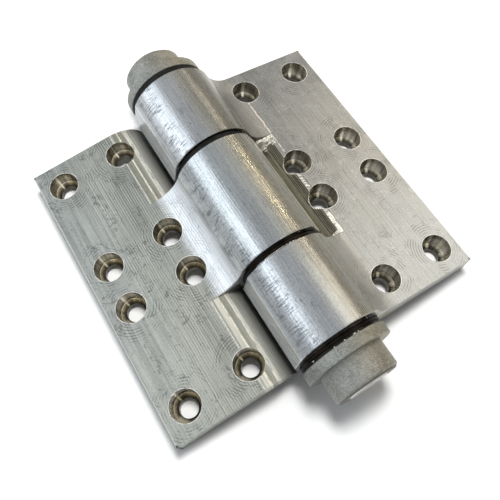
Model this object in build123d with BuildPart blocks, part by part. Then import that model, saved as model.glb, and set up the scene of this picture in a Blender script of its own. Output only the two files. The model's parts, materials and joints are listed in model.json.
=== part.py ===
from build123d import *
from math import asin, atan2, cos, hypot, radians, sin, sqrt
import os

# Three-knuckle butt hinge, machined from bar, lying open with its countersunk faces up.
# Y runs along the pin, X across the leaves and Z up. The origin is on the surface that the
# hinge lies on, under the middle of the pin. The top end of the barrel is at +Y.
# The leaf with the middle knuckle is on the -X side, the leaf with the two end knuckles on +X.

# Leaves
plate_length = 152.4
plate_thickness = 12.7
leaf_width = 82.55
pin_rise = 0.8
edge_break = 0.4

# Knuckles
barrel_diameter = 45.3
middle_knuckle_length = 59.0
inner_gap = 3.4
knuckle_fillet = 16.7
back_fillet = 3.0
side_flat_depth = 0.8
middle_flat_turn = 18.0
end_flat_turn = 3.0
knuckle_edge_break = 0.35

# Room for the other leaf's knuckles and fillets when the hinge is shut
edge_clearance = 2.0
relief_lead = 2.5
relief_facets = 2
facet_turn = 12.9
strip_depth = 0.35
strip_width = 2.6
terrace_depth = 0.85
terrace_width = 0.55
terrace_count = 5

# Screw holes: a deep, slightly tapered mouth, a conical seat and a through hole
inner_column = 38.5
outer_column_margin = 11.55
middle_row = 11.7
end_row_margin = 12.95
mouth_diameter = 14.6
seat_diameter = 13.4
seat_depth = 7.8
screw_hole_diameter = 8.9

# Pin and bushes
pin_diameter = 20.0
pin_proud = 0.4
pin_edge_break = 0.5
press_clearance = 0.01
running_clearance = 0.03
bush_wall = 3.0
grease_space = 5.0

# End caps
outer_gap = 4.1
flange_diameter = 42.6
flange_thickness = 5.5
hub_diameter = 31.8
hub_length = 13.1
hub_chamfer = 1.4
cap_edge_break = 0.3

# Grub screws that lock the caps on flats of the pin
grub_diameter = 6.0
grub_length = 5.8
grub_socket = 3.0
grub_socket_depth = 2.6
pin_flat_depth = 0.9
pin_flat_length = 9.0

# Rings and thrust bearings in the gaps of the barrel
ring_diameter = 41.4
ring_bore_clearance = 0.4
roller_diameter = 2.0
roller_length = 6.0
roller_count = 16
roller_circle_diameter = 32.0
roller_clearance = 0.05
cage_thickness = 1.4
cage_rim = 1.6

# Values that follow from the sizes above
LEFT = -1
RIGHT = 1
barrel_radius = barrel_diameter / 2
pin_radius = pin_diameter / 2
back_depth = pin_rise + plate_thickness
plate_end = plate_length / 2
knuckle_split = middle_knuckle_length / 2
inner_end = knuckle_split + inner_gap
end_knuckle_length = plate_end - inner_end
flange_face = plate_end + outer_gap
hub_face = flange_face + flange_thickness
hub_end = hub_face + hub_length
outer_column = leaf_width - outer_column_margin
end_row = plate_end - end_row_margin
bush_radius = pin_radius + bush_wall
bush_length = (end_knuckle_length - grease_space) / 2

# The barrel and the lower outer edges of both leaves touch the surface, so each leaf slopes
# down from the pin by this angle.
foot_reach = leaf_width - edge_break
leaf_tilt = asin(barrel_radius / hypot(foot_reach, back_depth)) - atan2(back_depth, foot_reach)
pin_height = barrel_radius

# Where the fillet between a leaf's face and its knuckle ends on the face
fillet_reach = sqrt((barrel_radius + knuckle_fillet) ** 2 - (knuckle_fillet - pin_rise) ** 2)


def leaf_plane(side, y=0.0):
    """Plane across a leaf: x from the pin to the outer edge, y up from the pin, square to the leaf."""
    outward = (side * cos(leaf_tilt), 0, -sin(leaf_tilt))
    return Plane(origin=(0, y, pin_height), x_dir=outward, z_dir=(0, -side, 0))


def cross_plane(y, facing):
    """Plane square to the pin at y, facing +Y or -Y, with its origin on the pin's axis."""
    return Plane(origin=(0, y, pin_height), x_dir=(1, 0, 0), z_dir=(0, facing, 0))


def arc_between(centre, radius, start, end):
    """Arc around centre from one point to another, the short way round."""
    middle = Vector(*start) + Vector(*end) - 2 * Vector(*centre)
    crown = Vector(*centre) + middle.normalized() * radius
    ThreePointArc(start, crown, end)


def knuckle_profile(flat_turn):
    """Section of a knuckle and its root: barrel, large fillet to the face, small one to the back.

    A shallow flat is left on the barrel opposite the leaf, turned up by flat_turn.
    """
    top_centre = (fillet_reach, knuckle_fillet - pin_rise)
    share = barrel_radius / (barrel_radius + knuckle_fillet)
    top_start = (top_centre[0] * share, top_centre[1] * share)
    back_reach = sqrt((barrel_radius + back_fillet) ** 2 - (back_depth + back_fillet) ** 2)
    back_centre = (back_reach, -back_depth - back_fillet)
    back_share = barrel_radius / (barrel_radius + back_fillet)
    back_start = (back_centre[0] * back_share, back_centre[1] * back_share)
    landing = (fillet_reach, -pin_rise)
    with BuildLine() as root:
        Line((0, 0), top_start)
        arc_between(top_centre, knuckle_fillet, top_start, landing)
        Line(landing, (fillet_reach, -back_depth))
        Line((fillet_reach, -back_depth), (back_reach, -back_depth))
        arc_between(back_centre, back_fillet, (back_reach, -back_depth), back_start)
        Line(back_start, (0, 0))
    Circle(barrel_radius)
    make_face(root.edges())
    with PolarLocations(1.5 * barrel_radius - side_flat_depth, 1, start_angle=180 - flat_turn):
        Rectangle(barrel_radius, barrel_diameter, mode=Mode.SUBTRACT)


def plate_profile():
    """Section of a plate, with its edge beside the barrel cut round the other leaf's knuckles."""
    Polygon((0, -pin_rise), (leaf_width - edge_break, -pin_rise),
            (leaf_width, -pin_rise - edge_break), (leaf_width, edge_break - back_depth),
            (leaf_width - edge_break, -back_depth), (0, -back_depth), align=None)
    Circle(barrel_radius + edge_clearance, mode=Mode.SUBTRACT)


def relief_arc(lead):
    """Centre and radius of the round that clears the other leaf's fillet when the hinge is shut."""
    radius = knuckle_fillet - 2 * pin_rise + lead
    return (fillet_reach + lead, -pin_rise - radius), radius


def relief_profile():
    """Cut over the rounded inner edge: narrow flat facets, then a smooth round down the edge."""
    centre, radius = relief_arc(relief_lead)
    corners = []
    for number in range(relief_facets + 1):
        angle = radians(90 + facet_turn * number)
        corners.append((centre[0] + radius * cos(angle), centre[1] + radius * sin(angle)))
    low = (centre[0] - radius, centre[1])
    first = corners[0]
    with BuildLine() as outline:
        Polyline(*corners)
        arc_between(centre, radius, corners[-1], low)
        Polyline(low, (0, low[1]), (0, barrel_radius), (first[0], barrel_radius), first)
    make_face(outline.edges())


def pocket_profile():
    """Cut over the pocket: a shallow strip, narrow terraces down, then a smooth round to the barrel."""
    centre = relief_arc(0)[0]
    reach = fillet_reach
    level = -pin_rise - strip_depth
    corners = [(reach, level), (reach - strip_width, level)]
    for number in range(terrace_count):
        reach = fillet_reach - strip_width - number * terrace_width
        level -= terrace_depth
        corners += [(reach, level), (reach - terrace_width, level)]
    radius = hypot(corners[-1][0] - centre[0], corners[-1][1] - centre[1])
    low = (centre[0] - radius, centre[1])
    with BuildLine() as outline:
        Polyline(*corners)
        arc_between(centre, radius, corners[-1], low)
        Polyline(low, (0, low[1]), (0, barrel_radius), (fillet_reach, barrel_radius), corners[0])
    make_face(outline.edges())


def cut_screw_holes(side):
    """Eight holes in two columns and four rows, cut down from the leaf's face.

    The mouth is also cut up from the face, through the root of the knuckle that it touches.
    """
    taper_height = (seat_diameter - screw_hole_diameter) / 2
    face = Plane(origin=(0, 0, pin_height), x_dir=(side * cos(leaf_tilt), 0, -sin(leaf_tilt)),
                 z_dir=(side * sin(leaf_tilt), 0, cos(leaf_tilt))).offset(-pin_rise)
    top = (Align.CENTER, Align.CENTER, Align.MAX)
    bottom = (Align.CENTER, Align.CENTER, Align.MIN)
    middle = (inner_column + outer_column) / 2
    for row in (middle_row, end_row):
        with Locations(face):
            with Locations((middle, 0)):
                with GridLocations(outer_column - inner_column, 2 * row, 2, 2):
                    Cylinder(screw_hole_diameter / 2, 3 * plate_thickness, mode=Mode.SUBTRACT)
                    Cylinder(mouth_diameter / 2, knuckle_fillet, align=bottom, mode=Mode.SUBTRACT)
                    Cone(seat_diameter / 2, mouth_diameter / 2, seat_depth, align=top,
                         mode=Mode.SUBTRACT)
        with Locations(face.offset(-seat_depth)):
            with Locations((middle, 0)):
                with GridLocations(outer_column - inner_column, 2 * row, 2, 2):
                    Cone(screw_hole_diameter / 2, seat_diameter / 2, taper_height, align=top,
                         mode=Mode.SUBTRACT)


def annulus(outer, inner):
    """Section of a ring round the pin."""
    Circle(outer)
    Circle(inner, mode=Mode.SUBTRACT)


def keep(builder, name):
    """Names a finished piece and writes it."""
    builder.part.label = name
    export_step(builder.part, "parts/" + name + ".step")


os.makedirs("parts", exist_ok=True)

# Leaf with the middle knuckle
with BuildPart() as middle_knuckle_leaf:
    with BuildSketch(leaf_plane(LEFT)):
        knuckle_profile(middle_flat_turn)
    extrude(amount=middle_knuckle_length / 2, both=True)
    chamfer(middle_knuckle_leaf.faces().filter_by(Axis.Y).edges(), knuckle_edge_break)
    with BuildSketch(leaf_plane(LEFT)):
        plate_profile()
    extrude(amount=plate_length / 2, both=True)
    for end in (1, -1):
        relief_length = plate_end - knuckle_split
        with BuildSketch(leaf_plane(LEFT, end * (knuckle_split + relief_length / 2))):
            relief_profile()
        extrude(amount=relief_length / 2, both=True, mode=Mode.SUBTRACT)
    with BuildSketch(leaf_plane(LEFT)):
        Circle(pin_radius + press_clearance)
    extrude(amount=plate_length, both=True, mode=Mode.SUBTRACT)
    cut_screw_holes(LEFT)
keep(middle_knuckle_leaf, "middle_knuckle_leaf")

# Leaf with the two end knuckles
with BuildPart() as end_knuckle_leaf:
    for end in (1, -1):
        with BuildSketch(leaf_plane(RIGHT, end * (inner_end + end_knuckle_length / 2))):
            knuckle_profile(end_flat_turn)
        extrude(amount=end_knuckle_length / 2, both=True)
    chamfer(end_knuckle_leaf.faces().filter_by(Axis.Y).edges(), knuckle_edge_break)
    with BuildSketch(leaf_plane(RIGHT)):
        plate_profile()
    extrude(amount=plate_length / 2, both=True)
    with BuildSketch(leaf_plane(RIGHT)):
        pocket_profile()
    extrude(amount=inner_end, both=True, mode=Mode.SUBTRACT)
    with BuildSketch(leaf_plane(RIGHT)):
        Circle(bush_radius + press_clearance)
    extrude(amount=plate_length, both=True, mode=Mode.SUBTRACT)
    cut_screw_holes(RIGHT)
keep(end_knuckle_leaf, "end_knuckle_leaf")

# Pin, pressed in the middle knuckle, with a flat under each cap's grub screw
screw_centre = hub_face + hub_length / 2
with BuildPart() as hinge_pin:
    with BuildSketch(cross_plane(0, 1)):
        Circle(pin_radius)
    extrude(amount=hub_end + pin_proud, both=True)
    chamfer(hinge_pin.edges().filter_by(GeomType.CIRCLE), pin_edge_break)
    for end in (1, -1):
        with Locations((0, end * screw_centre, pin_height - pin_radius)):
            Box(pin_diameter, pin_flat_length, 2 * pin_flat_depth, mode=Mode.SUBTRACT)
keep(hinge_pin, "hinge_pin")

for end, place in ((1, "top"), (-1, "bottom")):
    # End cap: flange and hub in one turned piece, with a cross hole for its grub screw
    with BuildPart() as cap:
        with BuildSketch(cross_plane(end * flange_face, end)):
            annulus(flange_diameter / 2, pin_radius + press_clearance)
        extrude(amount=flange_thickness)
        chamfer(cap.edges().filter_by(GeomType.CIRCLE).group_by(SortBy.RADIUS)[-1], cap_edge_break)
        with BuildSketch(cross_plane(end * hub_face, end)):
            annulus(hub_diameter / 2, pin_radius + press_clearance)
        extrude(amount=hub_length)
        hub_rim = cap.faces().sort_by(Axis.Y)[-1 if end > 0 else 0].outer_wire()
        chamfer(hub_rim.edges(), hub_chamfer)
        with BuildSketch(Plane(origin=(0, end * screw_centre, pin_height), z_dir=(0, 0, -1))):
            Circle(grub_diameter / 2 + press_clearance)
        extrude(amount=hub_diameter, mode=Mode.SUBTRACT)
    keep(cap, place + "_cap")

    # Grub screw with a hexagon socket, its point on the pin's flat
    grub_point = pin_height - pin_radius + pin_flat_depth
    with BuildPart() as grub:
        with BuildSketch(Plane(origin=(0, end * screw_centre, grub_point), z_dir=(0, 0, -1))):
            Circle(grub_diameter / 2)
        extrude(amount=grub_length)
        chamfer(grub.edges().filter_by(GeomType.CIRCLE), cap_edge_break)
        socket_mouth = Plane(origin=(0, end * screw_centre, grub_point - grub_length),
                             z_dir=(0, 0, 1))
        with BuildSketch(socket_mouth):
            RegularPolygon(grub_socket / 2, 6, major_radius=False)
        extrude(amount=grub_socket_depth, mode=Mode.SUBTRACT)
    keep(grub, place + "_cap_grub_screw")

    # Two bushes in the end knuckle, with a grease space between them
    for start, where in ((inner_end, "inner"), (plate_end - bush_length, "outer")):
        with BuildPart() as bush:
            with BuildSketch(cross_plane(end * start, end)):
                annulus(bush_radius, pin_radius + running_clearance)
            extrude(amount=bush_length)
            chamfer(bush.edges().filter_by(GeomType.CIRCLE), cap_edge_break)
        keep(bush, place + "_" + where + "_bush")

# Black rings in the two gaps at the top
ring_radius = ring_diameter / 2
ring_bore = pin_radius + ring_bore_clearance
for start, depth, where in ((knuckle_split, inner_gap, "inner"), (plate_end, outer_gap, "outer")):
    with BuildPart() as ring:
        with BuildSketch(cross_plane(start, 1)):
            annulus(ring_radius, ring_bore)
        extrude(amount=depth)
        chamfer(ring.edges().filter_by(GeomType.CIRCLE).group_by(SortBy.RADIUS)[-1], cap_edge_break)
    keep(ring, "top_" + where + "_ring")

# Thrust bearings in the two gaps at the bottom: two washers with a cage of rollers between them
for start, depth, where in ((knuckle_split, inner_gap, "inner"), (plate_end, outer_gap, "outer")):
    washer_thickness = (depth - roller_diameter) / 2
    roller_plane = -(start + depth / 2)
    for face, which in ((start, "upper"), (start + depth - washer_thickness, "lower")):
        with BuildPart() as washer:
            with BuildSketch(cross_plane(-face, -1)):
                annulus(ring_radius, ring_bore)
            extrude(amount=washer_thickness)
        keep(washer, where + "_bearing_" + which + "_washer")

    slot_width = roller_diameter + 2 * roller_clearance
    slot_length = roller_length + 2 * roller_clearance
    with BuildPart() as cage:
        with BuildSketch(cross_plane(roller_plane, 1)):
            Circle((roller_circle_diameter + roller_length) / 2 + cage_rim)
            Circle((roller_circle_diameter - roller_length) / 2 - cage_rim, mode=Mode.SUBTRACT)
            with PolarLocations(roller_circle_diameter / 2, roller_count):
                Rectangle(slot_length, slot_width, mode=Mode.SUBTRACT)
        extrude(amount=cage_thickness / 2, both=True)
    keep(cage, where + "_bearing_cage")

    with BuildPart() as rollers:
        with Locations(cross_plane(roller_plane, 1)):
            with PolarLocations(roller_circle_diameter / 2, roller_count):
                Cylinder(roller_diameter / 2 - roller_clearance / 2, roller_length,
                         rotation=(0, 90, 0))
    keep(rollers, where + "_bearing_rollers")
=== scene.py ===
import json
import math

import bmesh
import bpy
import numpy as np
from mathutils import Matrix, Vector


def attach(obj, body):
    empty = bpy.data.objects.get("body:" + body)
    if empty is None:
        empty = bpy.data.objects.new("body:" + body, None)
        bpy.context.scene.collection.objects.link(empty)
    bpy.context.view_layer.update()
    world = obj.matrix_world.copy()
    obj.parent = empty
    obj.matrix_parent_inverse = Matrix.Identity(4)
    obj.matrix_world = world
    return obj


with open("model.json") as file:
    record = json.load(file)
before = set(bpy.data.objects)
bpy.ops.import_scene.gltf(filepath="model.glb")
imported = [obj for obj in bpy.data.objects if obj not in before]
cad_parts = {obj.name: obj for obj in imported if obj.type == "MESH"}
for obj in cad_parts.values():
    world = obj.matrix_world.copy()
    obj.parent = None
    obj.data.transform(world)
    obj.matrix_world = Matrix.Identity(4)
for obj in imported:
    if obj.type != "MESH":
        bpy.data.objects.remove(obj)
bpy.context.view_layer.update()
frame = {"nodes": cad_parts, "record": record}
MM = 0.001
LEFT, RIGHT = -1, 1

# Sizes in millimetres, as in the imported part; on a leaf, u is outward, v along the pin and w upward
PIN_HEIGHT = 22.65
LEAF_TILT = math.radians(6.455)
LEAF_WIDTH = 82.55
FACE = -0.8
BACK = -13.5
BARREL_RADIUS = 22.65
FILLET_RADIUS = 16.7
FILLET_REACH = 35.99
KNUCKLE_SPLIT = 29.5
INNER_END = 32.9
PLATE_END = 76.2
FLANGE_START = 80.3
FLANGE_RADIUS = 21.3
HUB_END = 98.9
INNER_COLUMN, OUTER_COLUMN = 38.5, 71.0
MIDDLE_ROW, END_ROW = 11.7, 63.25
MOUTH_RADIUS = 7.3
SEAT_DEPTH = 7.8
STRIP_LEVEL = -1.15
STRIP_WIDTH = 2.6
TERRACE_DEPTH, TERRACE_WIDTH, TERRACES = 0.85, 0.55, 5
RELIEF_LEAD = 2.5
RELIEF_RADIUS = FILLET_RADIUS + 2 * FACE + RELIEF_LEAD
FACETS = 2
FACET_TURN = math.radians(12.9)

# Limits of the tool marks, just inside the right leaf's pocket
STRIP_INNER = FILLET_REACH - STRIP_WIDTH + 0.06
STRIP_OUTER = FILLET_REACH - 0.02
MARKS_END = INNER_END - 0.06


class Finish:
    """A material being put together: each method adds nodes and returns their output."""

    def __init__(self, name):
        self.material = bpy.data.materials.new(name)
        self.material.use_nodes = True
        self.tree = self.material.node_tree
        self.tree.nodes.clear()
        self.shader = self.node("ShaderNodeBsdfPrincipled")
        out = self.node("ShaderNodeOutputMaterial")
        self.join(self.shader.outputs[0], out.inputs["Surface"])
        scaled = self.node("ShaderNodeMapping")
        self.join(self.node("ShaderNodeTexCoord").outputs["Object"], scaled.inputs["Vector"])
        scaled.inputs["Scale"].default_value = (1000, 1000, 1000)
        self.place = scaled.outputs[0]

    def node(self, kind, **settings):
        made = self.tree.nodes.new(kind)
        for key, value in settings.items():
            setattr(made, key, value)
        return made

    def join(self, source, target):
        self.tree.links.new(source, target)

    def feed(self, socket, value):
        if hasattr(value, "is_linked"):
            self.join(value, socket)
        elif isinstance(value, tuple) and len(value) == 3 and socket.type == "RGBA":
            socket.default_value = (*value, 1.0)
        elif value is not None:
            socket.default_value = value

    def math(self, operation, a, b=None):
        made = self.node("ShaderNodeMath", operation=operation)
        for socket, value in zip(made.inputs, (a, b)):
            self.feed(socket, value)
        return made.outputs[0]

    def add(self, *values):
        total = values[0]
        for value in values[1:]:
            total = self.math("ADD", total, value)
        return total

    def times(self, *values):
        total = values[0]
        for value in values[1:]:
            total = self.math("MULTIPLY", total, value)
        return total

    def length(self, a, b):
        """Root of the sum of the squares of a and b."""
        return self.math("SQRT", self.add(self.times(a, a), self.times(b, b)))

    def about(self, value, centre, gain):
        """How far value lies from centre, times gain."""
        return self.math("MULTIPLY", self.math("SUBTRACT", value, centre), gain)

    def reach(self, value, start, end, to_start=0.0, to_end=1.0):
        """Smooth change from to_start at start to to_end at end; end may lie below start."""
        if end < start:
            start, end, to_start, to_end = end, start, to_end, to_start
        made = self.node("ShaderNodeMapRange", interpolation_type="SMOOTHSTEP")
        self.join(value, made.inputs["Value"])
        for key, number in (("From Min", start), ("From Max", end), ("To Min", to_start), ("To Max", to_end)):
            made.inputs[key].default_value = number
        return made.outputs[0]

    def band(self, value, low, high, soft):
        """1 between low and high, falling to 0 over soft on each side."""
        return self.times(self.reach(value, low - soft, low), self.reach(value, high + soft, high))

    def wave(self, value, pitch, wander, bend):
        """Sine wave of this pitch over value, shifted by wander times bend, in radians."""
        return self.math("SINE", self.add(self.times(value, 2 * math.pi / pitch), self.times(wander, bend)))

    def stretched(self, vector, scale=(1, 1, 1), location=(0, 0, 0), rotation=(0, 0, 0)):
        made = self.node("ShaderNodeMapping")
        self.join(vector, made.inputs["Vector"])
        made.inputs["Location"].default_value = location
        made.inputs["Rotation"].default_value = rotation
        made.inputs["Scale"].default_value = scale
        return made.outputs[0]

    def split(self, vector):
        made = self.node("ShaderNodeSeparateXYZ")
        self.join(vector, made.inputs[0])
        return made.outputs

    def build(self, a, b, c):
        made = self.node("ShaderNodeCombineXYZ")
        for socket, value in zip(made.inputs, (a, b, c)):
            self.feed(socket, value)
        return made.outputs[0]

    def add_vectors(self, a, b):
        made = self.node("ShaderNodeVectorMath", operation="ADD")
        self.join(a, made.inputs[0])
        self.join(b, made.inputs[1])
        return made.outputs[0]

    def noise(self, vector, size, detail=3.0, roughness=0.55, distortion=0.0):
        """Noise with blotches about size millimetres wide."""
        made = self.node("ShaderNodeTexNoise")
        self.join(vector, made.inputs["Vector"])
        for key, number in (("Scale", 1.0 / size), ("Detail", detail), ("Roughness", roughness),
                            ("Distortion", distortion)):
            made.inputs[key].default_value = number
        return made.outputs["Fac"]

    def contour(self, vector, size, thin, distortion=0.0):
        """Thin curved lines where a noise crosses its middle."""
        field = self.noise(vector, size, 2.0, 0.5, distortion)
        return self.reach(self.math("ABSOLUTE", self.math("SUBTRACT", field, 0.5)), thin, thin * 0.3)

    def dots(self, vector, spacing, radius, share):
        """Small round dots on about share of the cells of a loose net."""
        made = self.node("ShaderNodeTexVoronoi", feature="F1")
        self.join(vector, made.inputs["Vector"])
        made.inputs["Scale"].default_value = 1.0 / spacing
        inside = self.reach(made.outputs["Distance"], radius / spacing, 0.5 * radius / spacing)
        picked = self.split(made.outputs["Color"])[0]
        return self.times(inside, self.math("LESS_THAN", picked, share))

    def blend(self, share, a, b, kind="MIX"):
        made = self.node("ShaderNodeMix", data_type="RGBA", blend_type=kind)
        for socket, value in ((made.inputs[0], share), (made.inputs[6], a), (made.inputs[7], b)):
            self.feed(socket, value)
        return made.outputs[2]

    def relief(self, height, depth, under=None):
        """Bump whose full height is depth millimetres."""
        made = self.node("ShaderNodeBump")
        self.join(height, made.inputs["Height"])
        made.inputs["Distance"].default_value = depth * MM
        if under is not None:
            self.join(under, made.inputs["Normal"])
        return made.outputs[0]

    def finish(self, colour, roughness, normal, metallic=1.0):
        self.feed(self.shader.inputs["Base Color"], colour)
        self.feed(self.shader.inputs["Roughness"], roughness)
        self.shader.inputs["Metallic"].default_value = metallic
        if normal is not None:
            self.join(normal, self.shader.inputs["Normal"])
        return self.material


class LeafSteel(Finish):
    """Milled steel of one leaf, with its axes, zones and patterns at hand for its colours.

    u, v and w are the leaf's own axes, and angle goes round the pin from straight up, in degrees.
    hole is the distance from the nearest screw hole's axis, found from two columns and four rows.
    """

    def __init__(self, name, side, tones):
        super().__init__(name)
        self.side = side
        self.tones = tones
        self.find_axes()
        self.find_zones()
        self.draw_face_patterns()
        self.draw_knuckle_patterns()

    def find_axes(self):
        """Places on the leaf, round the pin and about the nearest screw hole."""
        lowered = self.stretched(self.place, location=(0, 0, -PIN_HEIGHT))
        self.leaf = self.stretched(lowered, rotation=(0, -self.side * LEAF_TILT, 0))
        across, self.v, self.w = self.split(self.leaf)
        self.u = self.times(across, self.side)
        self.beside = self.math("ABSOLUTE", self.v)
        x, self.y, z = self.split(self.place)
        lift = self.math("SUBTRACT", z, PIN_HEIGHT)
        self.from_pin = self.length(x, lift)
        self.angle = self.math("DEGREES", self.math("ARCTAN2", x, lift))
        far_row = self.math("GREATER_THAN", self.beside, (MIDDLE_ROW + END_ROW) / 2)
        nearest_row = self.add(self.times(far_row, END_ROW - MIDDLE_ROW), MIDDLE_ROW)
        self.row = self.times(self.math("SUBTRACT", self.beside, nearest_row), self.math("SIGN", self.v))
        far_column = self.math("GREATER_THAN", self.u, (INNER_COLUMN + OUTER_COLUMN) / 2)
        nearest_column = self.add(self.times(far_column, OUTER_COLUMN - INNER_COLUMN), INNER_COLUMN)
        self.column = self.math("SUBTRACT", self.u, nearest_column)
        self.hole = self.length(self.row, self.column)

    def find_zones(self):
        """Masks, from 0 to 1, of the surfaces that have a look of their own."""
        tones, u, w, angle = self.tones, self.u, self.w, self.angle
        self.outside_barrel = self.reach(self.from_pin, BARREL_RADIUS + 0.15, BARREL_RADIUS + 0.35)
        self.knuckle = self.math("SUBTRACT", 1.0, self.outside_barrel)
        self.in_hole = self.times(self.reach(self.hole, MOUTH_RADIUS + 0.12, MOUTH_RADIUS + 0.02),
                                  self.reach(u, 28.0, 29.0))
        face = self.times(self.band(w, FACE - 0.06, FACE + 0.06, 0.06), self.reach(u, 34.0, 37.0))
        from_face_up = self.reach(w, FACE - 0.06, FACE + 0.02)
        self.fillet = self.times(from_face_up, self.reach(u, FILLET_REACH + 1.5, FILLET_REACH - 2.0),
                                 self.outside_barrel)
        self.on_top = self.math("MAXIMUM", face, self.fillet)
        self.cut_back = self.times(self.reach(w, FACE - 0.10, FACE - 0.22),
                                   self.reach(u, tones["cut_from"], tones["cut_from"] - 0.3),
                                   self.reach(w, BACK + 0.05, BACK + 0.15), self.outside_barrel)
        own_knuckles = self.reach(self.beside, KNUCKLE_SPLIT + 0.3, KNUCKLE_SPLIT)
        if self.side == RIGHT:
            own_knuckles = self.reach(self.beside, INNER_END - 0.3, INNER_END)
        # These masks mark where a lighter, less metallic colour paints a bright sheen: on the root fillets,
        # the knuckles' low flanks and the left leaf's relief arc; the low right flank mask also paints light
        # over the shade beside the pocket.
        self.satin_sheen = self.times(self.outside_barrel, from_face_up, self.reach(u, 38.5, 29.0), tones["satin_sheen"],
                                own_knuckles)
        self.low_left = self.times(self.knuckle, self.reach(angle, -56.0, -68.0), tones["satin_sheen_low"])
        self.low_right = self.times(self.knuckle, self.reach(angle, 40.0, 56.0), tones["satin_sheen_high"])
        self.round_cut = self.times(self.cut_back, self.reach(u, 34.5, 30.0), tones["satin_sheen_cut"])

    def draw_face_patterns(self):
        """Fine lines along v, broken rings round the holes, scratches, ticks, and streaks in the holes."""
        leaf = self.leaf
        ridge_pitch, ring_pitch = 1.15, 1.35
        self.clouds = self.noise(self.stretched(leaf, (1, 0.4, 1)), 17.0, 4.0, 0.6)
        self.specks = self.noise(leaf, 0.7, 2.0, 0.7)
        self.wander = self.noise(leaf, 9.0, 2.0)
        patches = self.noise(leaf, 24.0, 3.0, 0.6)
        fine = self.noise(self.stretched(leaf, (1.0, 0.014, 1.0)), 0.85, 4.0, 0.65)
        near_barrel = self.reach(self.u, 74.0, 46.0, 0.10, 1.0)
        ridges = self.times(self.wave(self.u, ridge_pitch, self.wander, 5.0), near_barrel,
                            self.reach(patches, 0.38, 0.56), self.tones["ridge_depth"])
        self.lines = self.add(self.about(fine, 0.5, 2.0), ridges)
        ring_wave = self.wave(self.hole, ring_pitch, self.wander, 5.0)
        ring_zone = self.times(self.band(self.hole, MOUTH_RADIUS + 1.0, MOUTH_RADIUS + 7.5, 3.0), self.on_top)
        broken = self.reach(self.noise(leaf, 8.0, 3.0, 0.6), 0.46, 0.60)
        self.rings = self.times(self.reach(ring_wave, 0.1, 0.95), ring_zone, broken, self.tones["ring_depth"])
        self.scratches = self.times(self.contour(leaf, 15.0, 0.010, 1.2),
                                    self.reach(self.noise(leaf, 13.0, 2.0), 0.50, 0.60), self.on_top)
        self.ticks = self.times(self.contour(leaf, 2.6, 0.06, 0.6),
                                self.reach(self.noise(leaf, 7.0, 2.0), 0.57, 0.63), self.on_top)
        self.cut_lines = self.noise(self.stretched(leaf, (1.0, 0.02, 1.0)), self.tones["cut_pitch"], 4.0, 0.7)
        self.toward_wall = self.build(self.math("DIVIDE", self.column, self.hole),
                                      self.math("DIVIDE", self.row, self.hole), 0.0)
        wall_place = self.add_vectors(self.toward_wall, self.stretched(leaf, (0.02, 0.02, 0.0)))
        self.streaks = self.noise(wall_place, 0.28, 3.0, 0.6)

    def draw_knuckle_patterns(self):
        """Short cross strokes, smudges, bars by the angle round the pin, and pits."""
        place, angle = self.place, self.angle
        strokes = self.noise(self.stretched(place, (0.16, 1.0, 0.16)), 0.75, 3.0, 0.6)
        stroke_zone = self.times(self.band(angle, *self.tones["stroke_band"], 12.0),
                                 self.reach(self.w, FACE, FACE + 2.0))
        self.strokes = self.times(self.reach(strokes, 0.50, 0.59), stroke_zone,
                                  self.reach(self.noise(place, 5.0, 3.0), 0.38, 0.56))
        smudges = self.noise(self.stretched(place, (1.0, 0.3, 1.0)), 1.5, 4.0, 0.7)
        self.smudges = self.times(self.reach(smudges, 0.56, 0.66), self.knuckle,
                                  self.reach(self.noise(place, 9.0, 2.0), 0.42, 0.62))
        bars = self.noise(self.build(angle, self.times(self.y, 0.05), 0.0), 1.8, 4.0, 0.7)
        self.bars = self.times(self.about(bars, 0.5, 1.0), self.knuckle)
        self.pits = self.times(self.dots(self.stretched(place, (0.45, 1, 0.45)), 2.6, 0.30, 0.16),
                               self.knuckle, self.band(angle, -20.0, 52.0, 10.0))


def plate_colour(f):
    """Flat face and root fillets: lines, rings and scratches over clouds, painted lighter toward the near
    end, with a pale, less metallic colour on the fillets that paints their bright sheen.
    """
    tones = f.tones
    tone = f.add(0.5, f.about(f.clouds, 0.5, 0.7), f.times(f.lines, tones["line_gain"]),
                 f.about(f.specks, 0.5, 0.8), f.times(f.band(f.u, 54.0, 66.0, 9.0), tones["lift_middle"]),
                 f.times(f.rings, -1.0), f.times(f.scratches, -tones["marks"]),
                 f.times(f.ticks, tones["tick_tone"]))
    # Painted light: the face grows lighter toward the near end; it also turns a little darker toward the pin.
    tone = f.add(tone, f.times(f.reach(f.v, 70.0, -70.0, -0.5, 0.5), tones["painted_light_to_near"]),
                 f.times(f.reach(f.u, 78.0, 50.0, -0.5, 0.5), tones["lift_to_pin"]))
    plate = f.blend(tone, tones["dark"], tones["light"])
    warmth = f.add(f.reach(f.u, 74.0, 48.0, 0.0, 0.7), f.reach(f.v, 10.0, -60.0, 0.0, 0.5))
    plate = f.blend(warmth, plate, tones["warm_tint"], kind="MULTIPLY")
    # The fillets take a lighter, less metallic colour that paints their sheen.
    return f.blend(f.satin_sheen, plate, f.blend(tone, tones["satin_sheen_dark"], tones["satin_sheen_light"]))


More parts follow.
